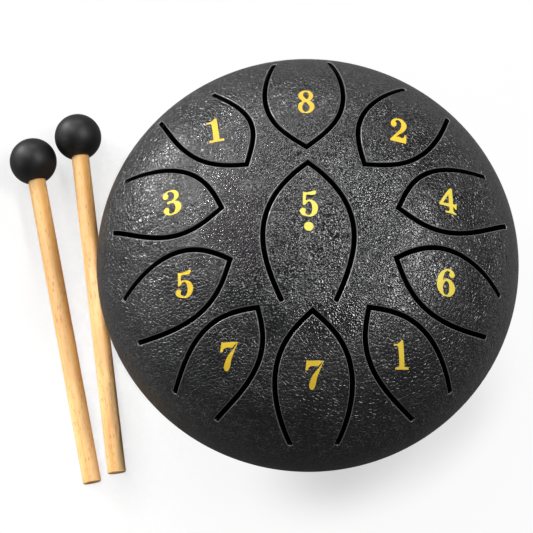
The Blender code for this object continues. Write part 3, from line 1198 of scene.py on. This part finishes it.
@dataclass(frozen=True)
class WeldBead:
    """Weld between the halves: ground nearly flush, with its ripple still to be felt."""

    reach_gap: float = 0.02 * MM
    edge_sink: float = 0.04 * MM
    face_sink: float = 0.01 * MM
    root: float = 0.05 * MM
    skin: float = 0.2 * MM
    rippled: float = 0.9
    ripples: float = 128.0
    ripple_slope: float = 900.0
    ripple_depth: float = 0.045 * MM
    segments: int = 512

    def build(self, shell: DrumShell) -> None:
        """Turn the bead and ripple its face.

        Args:
            shell: the drum whose halves it joins.
        """
        outline = shell.outline
        reach = shell.fit_gap / 2.0 + shell.weld_depth - self.reach_gap
        outer = outline.point(outline.angle_at_level(reach))[0]
        face = [(outer - self.edge_sink, reach), (outline.radius - self.face_sink, 0.5 * reach)]
        mirrored = [(radius, -level) for radius, level in reversed(face)]
        apex = (outline.radius - shell.weld_depth - self.root, 0.0)
        section = [*face, (outline.radius, 0.0), *mirrored, apex]
        body = spun(section, closed=True, segments=self.segments)
        for vert in body.verts:
            level = abs(vert.co.z)
            if vert.co.xy.length > outline.radius - self.skin and level < self.rippled * reach:
                bearing = math.atan2(vert.co.y, vert.co.x)
                ripple = 0.5 + 0.5 * math.sin(self.ripples * bearing - self.ripple_slope * level)
                vert.co.xy *= 1.0 - self.ripple_depth * ripple / outline.radius
        looks = [SeamCoat("weld_coat", shell.centre)]
        hand_over("seam_bead", shell.raised(body), looks, Body.DRUM, SlotName.SEAM_COAT, "seam_weld")


@dataclass(frozen=True)
class RubberFoot:
    """One rubber plug foot, pushed into its hole in the bowl."""

    node: str
    bearing: float
    pad_radius: float = 7.5 * MM
    pad_stock: float = 12.0 * MM
    pad_draft: float = 0.8 * MM
    stem_radius: float = 3.0 * MM
    barb_radius: float = 4.2 * MM
    barb_tip_radius: float = 2.2 * MM
    barb_length: float = 5.0 * MM
    rounding: float = 0.5 * MM
    roughness: float = 0.62
    skin: float = 0.06 * MM
    segments: int = 64

    def build(self, shell: DrumShell) -> None:
        """Turn the plug, round its edges and cut its sole level with the table.

        Args:
            shell: the drum it stands under.
        """
        shoulder = shell.outline.wall + shell.fit_gap
        section = [
            (0.0, shoulder + self.barb_length),
            (self.barb_tip_radius, shoulder + self.barb_length),
            (self.barb_radius, shoulder),
            (self.stem_radius, shoulder),
            (self.stem_radius, -shell.fit_gap),
            (self.pad_radius, -shell.fit_gap),
            (self.pad_radius - self.pad_draft, -self.pad_stock),
            (0.0, -self.pad_stock),
        ]
        place = Matrix.Translation(shell.centre) @ shell.foot_place(self.bearing)
        body = spun(section, closed=False, segments=self.segments)
        bmesh.ops.transform(body, matrix=place, verts=body.verts)
        bmesh.ops.bisect_plane(
            body,
            geom=body.verts[:] + body.edges[:] + body.faces[:],
            plane_co=(0.0, 0.0, 0.0),
            plane_no=(0.0, 0.0, -1.0),
            clear_outer=True,
        )
        bmesh.ops.holes_fill(body, edges=body.edges, sides=0)
        softened(body, self.rounding, sharp_edge)
        look = MouldedRubber(
            f"{self.node}_rubber", place.translation, roughness=self.roughness, skin=self.skin
        )
        name = self.node.replace("foot", "plug_foot")
        hand_over(name, body, [look], Body.DRUM, SlotName.FOOT_RUBBER, self.node)


@dataclass(frozen=True)
class BallMallet:
    """One mallet, lying on its ball and the end of its stick; its own +Z runs down the stick.

    Its place and length are in millimetres and its heading in degrees. The lip of the ball is given in
    metres out from the bore and up from the ball's edge.
    """

    body: Body
    beside: float
    behind: float
    heading: float
    length: float
    ball_radius: float = 9.2 * MM
    stick_radius: float = 3.45 * MM
    insert: float = 12.0 * MM
    chamfer: float = 0.4 * MM
    fit_gap: float = 0.3 * MM
    bore_gap: float = 0.04 * MM
    lip_reach: float = 0.45 * MM
    lip: tuple[Pair, ...] = ((0.22 * MM, 0.08 * MM), (0.06 * MM, -0.03 * MM), (0.0, -0.35 * MM))
    ball_steps: int = 44
    ball_segments: int = 96
    stick_steps: int = 60
    stick_segments: int = 64
    stick_rounding: float = 0.14 * MM
    waver: float = 0.035 * MM
    waver_scale: Triple = (60.0, 60.0, 55.0)

    @cached_property
    def mouth(self) -> float:
        """Distance from the ball's middle to where the stick goes in."""
        return math.sqrt(self.ball_radius**2 - (self.stick_radius + self.fit_gap) ** 2)

    @cached_property
    def stick_span(self) -> Pair:
        """Where the stick starts and ends, from the ball's middle."""
        return self.mouth - self.insert, self.length * MM - self.ball_radius

    def turn(self) -> Euler:
        """Work out how the mallet lies on the table.

        Returns:
            The turn from upright, with the stick's end drooping to the table.
        """
        edge = self.stick_span[1] - self.chamfer
        droop = math.asin(self.ball_radius / math.hypot(edge, self.stick_radius))
        droop -= math.atan2(self.stick_radius, edge)
        return Euler((0.0, QUARTER_TURN + droop, math.radians(self.heading)))

    def centre(self, shell: DrumShell) -> Vector:
        """Middle of the ball."""
        across = shell.centre.x - shell.outline.radius - self.beside * MM
        return Vector((across, self.behind * MM, self.ball_radius))

    def build(self, shell: DrumShell) -> None:
        """Turn the ball and its stick and lay them in their place.

        Args:
            shell: the drum it lies beside.
        """
        centre = self.centre(shell)
        turn = self.turn()
        place = Matrix.LocRotScale(centre, turn, None)
        rubber = MouldedRubber(f"{self.body.value}_rubber", centre)
        start, end = self.stick_span
        wood = SandedWood(f"{self.body.value}_wood", centre, turn, start=start, end=end)
        for part, bm, look, slot in (
            ("head", self.ball(), rubber, SlotName.BALL_RUBBER),
            ("stick", self.stick(), wood, SlotName.STICK_WOOD),
        ):
            bmesh.ops.transform(bm, matrix=place, verts=bm.verts)
            name = f"{self.body.value}_{part}"
            hand_over(name.replace("mallet", "beater"), bm, [look], self.body, slot, name)

    def ball(self) -> BMesh:
        """Turn the ball.

        Returns:
            A ball with a rounded mouth and a blind bore for the stick.
        """
        bore = self.stick_radius + self.bore_gap
        brink = math.acos((bore + self.lip_reach) / self.ball_radius)
        turns = np.linspace(-QUARTER_TURN, brink, self.ball_steps)
        radius = self.ball_radius
        section = [(radius * math.cos(turn), radius * math.sin(turn)) for turn in turns]
        section[0] = (0.0, -radius)
        edge = section[-1][1]
        section += [(bore + out, edge + up) for out, up in self.lip]
        floor = self.stick_span[0] - self.fit_gap
        section += [(bore, floor), (0.0, floor)]
        return spun(section, closed=False, segments=self.ball_segments)

    def stick(self) -> BMesh:
        """Turn the stick.

        Returns:
            A dowel with sanded ends and the slight waver of a machined stick.
        """
        start, end = self.stick_span
        neck = self.stick_radius - self.chamfer
        shank = np.linspace(start + self.chamfer, end - self.chamfer, self.stick_steps)
        section = [(0.0, start), (neck, start)]
        section += [(self.stick_radius, level) for level in shank]
        section += [(neck, end), (0.0, end)]
        bm = spun(section, closed=False, segments=self.stick_segments)
        shift = Vector((0.0, 0.0, self.length))
        for vert in bm.verts:
            if start + self.chamfer < vert.co.z < end - 2.0 * self.chamfer:
                waver = 0.5 + 0.5 * noise.noise(vert.co * Vector(self.waver_scale) + shift)
                vert.co.xy *= 1.0 - self.waver * waver / self.stick_radius
        softened(bm, self.stick_rounding, sharp_edge, segments=2)
        return bm


# short names for the two bends, used in the contours of the numerals
S = Bend.SMOOTH
C = Bend.CORNER


class Numeral(Enum):
    """Bold slab-serif numerals: contours in hundredths of a box that runs from -50 to 50 both ways."""

    ONE = (
        (
            (17, 50, C), (20, 45, S), (21, -41, C), (49, -42, C), (50, -50, C), (-48, -49, C),
            (-48, -42, C), (-27, -41, S), (-18, -40, C), (-17, 16, S), (-20, 28, S), (-28, 31, S),
            (-49, 30, C), (-50, 38, C), (-22, 37, S), (9, 49, C),
        ),
    )
    TWO = (
        (
            (-50, 26, S), (-42, 40, S), (-10, 50, S), (28, 42, S), (44, 21, S), (33, 1, S), (7, -16, S),
            (-12, -28, C), (7, -27, S), (28, -29, S), (34, -25, S), (37, -16, C), (48, -15, C),
            (50, -50, C), (-43, -47, C), (-42, -40, C), (-13, -14, S), (7, 6, S), (13, 24, S), (4, 38, S),
            (-14, 43, S), (-24, 37, S), (-16, 27, S), (-22, 14, S), (-38, 13, S),
        ),
    )
    THREE = (
        (
            (-49, 29, S), (-37, 42, S), (-3, 50, S), (28, 45, S), (41, 29, S), (34, 14, S), (15, 5, C),
            (40, -3, S), (50, -18, S), (39, -38, S), (5, -49, S), (-29, -47, S), (-50, -31, S),
            (-41, -19, S), (-26, -18, S), (-18, -27, S), (-22, -36, S), (-13, -44, S), (5, -41, S),
            (16, -29, S), (17, -16, S), (10, -5, S), (-6, -1, S), (-23, -4, S), (-28, 1, S), (-20, 6, S),
            (0, 7, S), (12, 16, S), (15, 31, S), (6, 41, S), (-11, 45, S), (-23, 39, S), (-17, 30, S),
            (-24, 19, S), (-41, 18, S),
        ),
    )
    FOUR = (
        (
            (2, 50, S), (12, 48, C), (25, -10, C), (34, -10, S), (35, -9, C), (45, -8, C), (48, -29, C),
            (38, -29, C), (35, -24, S), (28, -23, C), (31, -36, S), (36, -42, S), (49, -45, C),
            (50, -50, C), (-12, -49, C), (-12, -43, C), (3, -42, S), (9, -38, S), (6, -24, C),
            (-48, -24, C), (-50, -17, C), (-5, 46, S),
        ),
        ((-5, 25, C), (-30, -14, C), (2, -12, C)),
    )
    FIVE = (
        (
            (-32, 45, C), (-26, 43, S), (4, 44, S), (33, 50, C), (41, 49, C), (37, 37, S), (18, 33, S),
            (-12, 33, S), (-16, 30, C), (-18, 10, C), (-5, 14, S), (16, 13, S), (42, 0, S), (50, -16, S),
            (41, -37, S), (18, -49, S), (-15, -48, S), (-42, -40, S), (-50, -27, S), (-42, -19, S),
            (-30, -17, S), (-18, -24, S), (-21, -33, S), (-9, -43, S), (9, -41, S), (18, -28, S),
            (18, -12, S), (12, 3, S), (0, 8, S), (-11, 4, S), (-20, -4, C), (-34, -6, C),
        ),
    )
    SIX = (
        (
            (3, 50, S), (34, 43, S), (43, 31, S), (34, 22, S), (20, 22, S), (11, 30, S), (15, 38, S),
            (4, 43, S), (-10, 36, S), (-17, 21, S), (-19, 6, C), (3, 14, S), (33, 6, S), (50, -18, S),
            (36, -43, S), (5, -50, S), (-26, -43, S), (-45, -25, S), (-50, -2, S), (-44, 21, S),
            (-26, 40, S),
        ),
        (
            (1, 5, S), (-12, -3, S), (-16, -22, S), (-10, -38, S), (5, -45, S), (17, -37, S), (18, -19, S),
            (13, -2, S),
        ),
    )
    SEVEN = (
        (
            (-42, 50, C), (-33, 47, C), (43, 47, S), (50, 45, C), (31, 17, S), (13, -13, S), (3, -40, S),
            (-12, -50, S), (-28, -41, S), (-24, -23, S), (-5, 2, S), (24, 23, C), (44, 41, C), (39, 42, C),
            (19, 28, C), (-20, 28, S), (-32, 23, S), (-35, 15, C), (-50, 15, C),
        ),
    )
    EIGHT = (
        (
            (-4, 50, S), (28, 44, S), (42, 27, S), (36, 14, S), (20, 4, C), (40, -6, S), (50, -22, S),
            (34, -43, S), (0, -50, S), (-36, -44, S), (-50, -23, S), (-42, -7, S), (-27, 2, S),
            (-43, 13, S), (-49, 27, S), (-34, 44, S),
        ),
        ((-6, 43, S), (-21, 29, S), (-12, 19, S), (4, 11, S), (15, 27, S), (9, 39, S)),
        ((-7, -3, S), (-24, -22, S), (-19, -38, S), (0, -45, S), (21, -26, S), (12, -13, S)),
    )
    DOT = (
        (
            (0, 50, S), (35, 35, S), (50, 0, S), (35, -35, S), (0, -50, S), (-35, -35, S), (-50, 0, S),
            (-35, 35, S),
        ),
    )


@dataclass(frozen=True)
class PrintedNumber:
    """One printed number: its place and size in millimetres as seen from above, from the drum's axis."""

    name: str
    numeral: Numeral
    across: float
    back: float
    height: float
    width: float
    tilt: float = 0.0
    ink: LitInk = LitInk.GOLDEN
    lift: float = 0.03 * MM
    film: float = 0.05 * MM
    half_box: int = 50
    grid: int = 5
    curve_steps: int = 6
    merge: float = 0.01

    def flat(self) -> BMesh:
        """Draw the numeral in its box.

        Returns:
            A flat sheet, cut into small cells so that it can follow the dome.
        """
        curve = bpy.data.curves.new(self.name, "CURVE")
        curve.dimensions = "2D"
        curve.fill_mode = "BOTH"
        curve.resolution_u = self.curve_steps
        for contour in self.numeral.value:
            spline = curve.splines.new("BEZIER")
            spline.bezier_points.add(len(contour) - 1)
            spline.use_cyclic_u = True
            for knot, (across, up, bend) in zip(spline.bezier_points, contour):
                knot.co = (across, up, 0.0)
                knot.handle_left_type = bend.value
                knot.handle_right_type = bend.value
        drawn = placed(self.name, curve)
        bm = baked(drawn)
        bpy.data.objects.remove(drawn)
        bpy.data.curves.remove(curve)
        bmesh.ops.remove_doubles(bm, verts=bm.verts, dist=self.merge)
        for line in range(self.grid - self.half_box, self.half_box, self.grid):
            for normal in (Vector((1.0, 0.0, 0.0)), Vector((0.0, 1.0, 0.0))):
                geom = bm.verts[:] + bm.edges[:] + bm.faces[:]
                bmesh.ops.bisect_plane(bm, geom=geom, plane_co=normal * line, plane_no=normal)
        return bm

    def build(self, shell: DrumShell) -> None:
        """Lay the numeral on the dome, upright as the player sees it.

        Args:
            shell: the drum it is printed on.
        """
        middle = Vector((self.across, self.back, 0.0))
        turn = Matrix.Rotation(math.radians(-self.tilt), 3, "Z")
        bm = self.flat()
        box = 2.0 * self.half_box
        for vert in bm.verts:
            drawn = Vector((vert.co.x * self.width, vert.co.y * self.height, 0.0)) / box
            place, normal = shell.outline.above((middle + turn @ drawn) * MM)
            vert.co = place + normal * (self.lift - shell.relief.sink(place))
        bmesh.ops.recalc_face_normals(bm, faces=bm.faces)
        if sum(face.normal.z for face in bm.faces) < 0.0:
            bmesh.ops.reverse_faces(bm, faces=bm.faces)
        bmesh.ops.solidify(bm, geom=bm.faces[:], thickness=self.film)
        looks = [NumberPrint(f"{self.name}_print", shell.centre, ink=self.ink)]
        hand_over(self.name, shell.raised(bm), looks, Body.DRUM, SlotName.NUMBER_PRINT)


# each number's ink is a lit, shaded or sheen copy of the one print: painted light and shade
NUMBERS = (
    PrintedNumber("number_8", Numeral.EIGHT, -0.9, 47.5, 10.0, 5.7, tilt=1.3, ink=LitInk.SHADED_OCHRE),
    PrintedNumber("number_2", Numeral.TWO, 31.0, 36.9, 10.0, 6.0, tilt=7.5),
    PrintedNumber("number_4", Numeral.FOUR, 47.5, 11.4, 9.3, 6.4, tilt=8.0, ink=LitInk.LIT_CANARY),
    PrintedNumber("number_6", Numeral.SIX, 45.7, -17.6, 9.3, 6.4, tilt=6.0, ink=LitInk.LIT_CANARY),
    PrintedNumber("number_1_right", Numeral.ONE, 30.0, -42.2, 9.3, 4.6, tilt=-4.0, ink=LitInk.LIT_AMBER),
    PrintedNumber("number_7_front", Numeral.SEVEN, 1.1, -49.2, 9.3, 6.1),
    PrintedNumber("number_7_left", Numeral.SEVEN, -27.2, -42.8, 9.3, 5.9),
    PrintedNumber("number_5_left", Numeral.FIVE, -42.4, -18.5, 9.2, 6.0, tilt=-3.0),
    PrintedNumber("number_3", Numeral.THREE, -47.0, 10.6, 9.2, 6.2, tilt=-6.0),
    PrintedNumber("number_1_left", Numeral.ONE, -32.6, 37.2, 10.1, 5.3, tilt=-8.0, ink=LitInk.SHADED_OCHRE),
    PrintedNumber("number_5_centre", Numeral.FIVE, -0.5, 7.9, 9.3, 6.0, ink=LitInk.SHEEN_LEMON),
    PrintedNumber("dot_centre", Numeral.DOT, -0.6, -0.2, 3.1, 3.1, ink=LitInk.SHEEN_LEMON),
)

FEET = (
    RubberFoot("foot_rear", 90.0),
    RubberFoot("foot_front_left", 210.0),
    RubberFoot("foot_front_right", 330.0),
)

MALLETS = (
    BallMallet(Body.LEFT_MALLET, beside=30.8, behind=51.2, heading=-78.0, length=138.0),
    BallMallet(Body.RIGHT_MALLET, beside=13.5, behind=61.4, heading=-82.0, length=143.0),
)


@dataclass(frozen=True)
class SoftLamp:
    """One softbox, or a narrow one with a small spread, that faces a point of the set."""

    name: str
    toward: Triple
    distance: float
    width: float
    height: float
    power: float
    spread: float = math.pi

    def hang(self, centre: Vector) -> None:
        """Hang the lamp.

        Args:
            centre: what it faces.
        """
        light = bpy.data.lights.new(self.name, "AREA")
        light.shape = "RECTANGLE"
        light.size = self.width
        light.size_y = self.height
        light.energy = self.power
        light.spread = self.spread
        lamp = placed(self.name, light)
        direction = Vector(self.toward).normalized()
        lamp.location = centre + direction * self.distance
        lamp.rotation_euler = direction.to_track_quat("Z", "Y").to_euler()


@dataclass(frozen=True)
class Studio:
    """Pale floor, soft light and the camera.

    The pairs of bounce, glow and mirror are levels, and the first of each is the dimmer one. The other
    pairs are the distances over which a level changes, from the drum's axis or along X or Y.
    """

    centre: Vector
    drum_radius: float
    floor_side: float = 8.0
    floor_cells: int = 8
    floor_drop: float = 0.2 * MM
    floor_white: float = 0.86
    floor_bounce: Pair = (0.08, 0.20)
    floor_glow: Pair = (0.53, 0.91)
    painted_port_shadow: Pair = (0.022, 0.045)
    under_drum: Pair = (0.055, 0.065)
    beside_drum: Pair = (0.074, 0.094)
    past_rim: Pair = (0.076, 0.092)
    near_drum: Pair = (0.13, 0.42)
    near_mirror: Pair = (0.24, 1.0)
    in_front: Pair = (-0.13, -0.03)
    front_mirror: Pair = (0.10, 1.0)
    by_mallets: Pair = (-0.056, -0.074)
    mallet_glow: float = 0.66
    left_mirror: float = 0.45
    shadow_side: Triple = (0.045, -0.075, 0.0)
    lit_side: Pair = (0.028, 0.072)
    world_level: float = 0.08
    elevation: float = math.radians(74.0)
    distance: float = 7.0
    aim_right: float = 0.19393
    aim_up: float = 0.02563
    focal_pixels: float = 1469.13
    frame_pixels: float = 533.0
    sensor: float = 36.0
    lamps: tuple[SoftLamp, ...] = (
        SoftLamp("key_lamp", (-0.74, 0.61, 0.29), 1.3, 0.55, 0.26, 11.5),
        SoftLamp("left_lamp", (-0.93, -0.12, 0.35), 1.3, 0.50, 0.12, 1.8),
        SoftLamp("back_lamp", (-0.08, 0.88, 0.46), 1.4, 0.90, 0.22, 4.5),
        SoftLamp("right_lamp", (0.50, 0.15, 0.853), 1.5, 0.74, 0.20, 12.5),
        SoftLamp("top_lamp", (-0.42, 0.42, 0.805), 1.6, 0.60, 0.60, 7.0),
        SoftLamp("front_lamp", (0.1, -0.6, 0.79), 1.4, 0.14, 0.14, 0.5),
    )
    mallets_at: Triple = (-0.073, -0.014, -0.040)
    mallet_lamp: SoftLamp = SoftLamp(
        "mallet_lamp", (-0.13, 0.05, 0.99), 1.2, 0.27, 0.05, 0.036, spread=math.radians(4.5)
    )

    def build(self) -> None:
        """Set up the floor, the lamps, the world and the camera."""
        self.lay_floor()
        for lamp in self.lamps:
            lamp.hang(self.centre)
        self.mallet_lamp.hang(self.centre + Vector(self.mallets_at))
        world = bpy.data.worlds.new("studio_world")
        world.use_nodes = True
        grey = (self.world_level,) * 3
        world.node_tree.nodes["Background"].inputs["Color"].default_value = (*grey, 1.0)
        bpy.context.scene.world = world
        bpy.context.scene.view_settings.view_transform = "Standard"
        self.aim_camera()

    def lay_floor(self) -> None:
        """Lay a white floor that keeps the shadows, is painted black as a shadow under the sound port, and
        can be looked through from below.
        """
        bm = bmesh.new()
        bmesh.ops.create_grid(
            bm, x_segments=self.floor_cells, y_segments=self.floor_cells, size=self.floor_side / 2.0
        )
        bmesh.ops.translate(bm, verts=bm.verts, vec=(0.0, 0.0, -self.floor_drop))
        floor = placed("floor", mesh_of("floor", bm))
        middle = Vector((self.centre.x, self.centre.y, 0.0))
        board = NodeBoard("floor_white", middle)
        board.tree.nodes.remove(board.shader)
        rays = board.node("ShaderNodeLightPath", {}).outputs
        radius = board.length(board.place)
        left = board.span(board.axis("X"), *self.by_mallets)
        direct = board.product(rays["Is Camera Ray"], board.span(radius, *self.under_drum))
        mirrored = board.product(
            board.sum(rays["Is Glossy Ray"], rays["Is Transmission Ray"]),
            board.span(board.axis("Y"), *self.in_front, *self.front_mirror),
            board.span(radius, *self.past_rim),
            board.blend(left, 1.0, self.left_mirror),
            board.span(radius, *self.near_drum, *self.near_mirror),
        )
        bounce = board.blend(left, *self.floor_bounce)
        tone = board.tint(rays["Is Camera Ray"], bounce, (self.floor_white,) * 3)
        # painted shadow: the floor under the sound port is black
        tone = board.tint(board.span(radius, *self.painted_port_shadow), (0.0, 0.0, 0.0), tone)
        matte = board.node("ShaderNodeBsdfDiffuse", {"Color": tone})
        glow = board.node("ShaderNodeEmission", {"Color": (1.0, 1.0, 1.0, 1.0), "Strength": 1.0})
        share = board.span(radius, *self.beside_drum, *self.floor_glow)
        away = board.length(board.coordinates(middle + Vector(self.shadow_side)))
        share = board.blend(board.span(away, *self.lit_side), share, self.floor_glow[1])
        share = board.product(board.sum(direct, mirrored), board.blend(left, share, self.mallet_glow))
        lit = board.node("ShaderNodeMixShader", {0: share, 1: matte.outputs[0], 2: glow.outputs[0]})
        below = board.node("ShaderNodeNewGeometry", {}).outputs["Backfacing"]
        clear = board.node("ShaderNodeBsdfTransparent", {})
        both = board.node("ShaderNodeMixShader", {0: below, 1: lit.outputs[0], 2: clear.outputs[0]})
        board.feed(board.tree.nodes["Material Output"].inputs["Surface"], both.outputs[0])
        floor.data.materials.append(board.material)

    def aim_camera(self) -> None:
        """Put the camera where the photograph was taken from."""
        sine, cosine = math.sin(self.elevation), math.cos(self.elevation)
        ahead = Vector((0.0, cosine, -sine))
        up = Vector((0.0, sine, cosine))
        right = Vector((1.0, 0.0, 0.0))
        data = bpy.data.cameras.new("camera")
        data.sensor_width = self.sensor
        data.lens = self.focal_pixels / self.frame_pixels * self.sensor
        camera = placed("camera", data)
        offset = ahead * self.distance + right * self.aim_right + up * self.aim_up
        camera.location = self.centre - offset * self.drum_radius
        camera.rotation_euler = (QUARTER_TURN - self.elevation, 0.0, 0.0)
        bpy.context.scene.camera = camera


def main() -> None:
    """Build the drum, its numbers and its mallets, light them and note the sizes."""
    logging.basicConfig(level=logging.INFO, format="%(message)s")
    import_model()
    low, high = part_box("seam_weld")
    shell = DrumShell(centre=(low + high) / 2.0)
    shell.build_dome()
    shell.build_bowl([foot.bearing for foot in FEET])
    for piece in (WeldBead(), *FEET, *MALLETS, *NUMBERS):
        piece.build(shell)
    Studio(shell.centre, shell.outline.radius).build()


if __name__ == "__main__":
    main()
